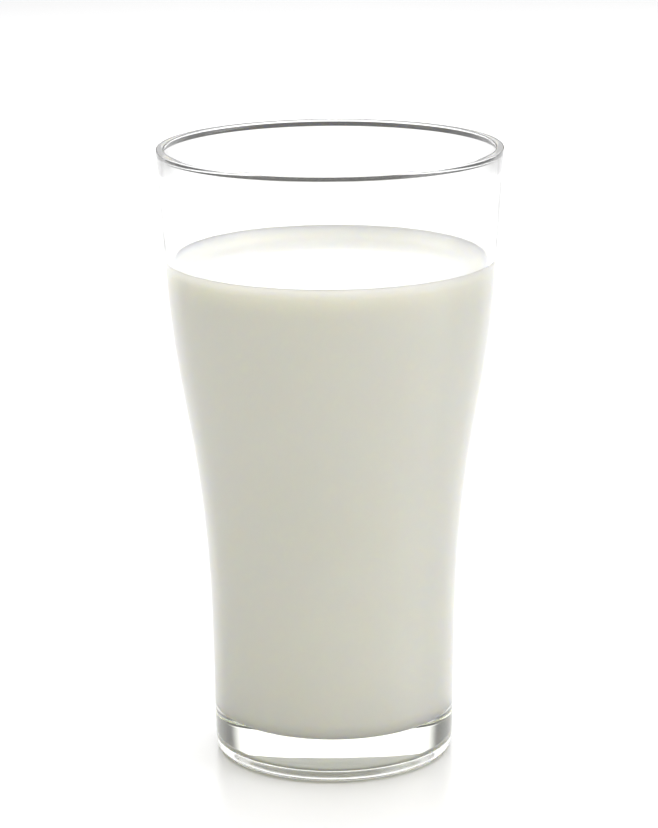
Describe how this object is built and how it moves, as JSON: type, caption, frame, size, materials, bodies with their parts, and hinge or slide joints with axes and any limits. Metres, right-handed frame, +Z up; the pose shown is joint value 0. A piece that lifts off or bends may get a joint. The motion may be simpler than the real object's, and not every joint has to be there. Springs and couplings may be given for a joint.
{
  "type": "glass of milk",
  "caption": "Tall clear glass tumbler with a thick foot and a flared upper wall, filled with milk to below its rim.",
  "frame": {"origin": "centre of the ring that the tumbler stands on", "axes": "+Z up along the tumbler's axis, from the foot to the rim"},
  "size_m": [0.084, 0.084, 0.1525],
  "materials": {
    "clear_glass": "clear fire-polished glass",
    "milk": "opaque liquid with a wet gloss"
  },
  "bodies": {
    "root": {"tumbler": "clear_glass", "milk": "milk"}
  },
  "joints": []
}
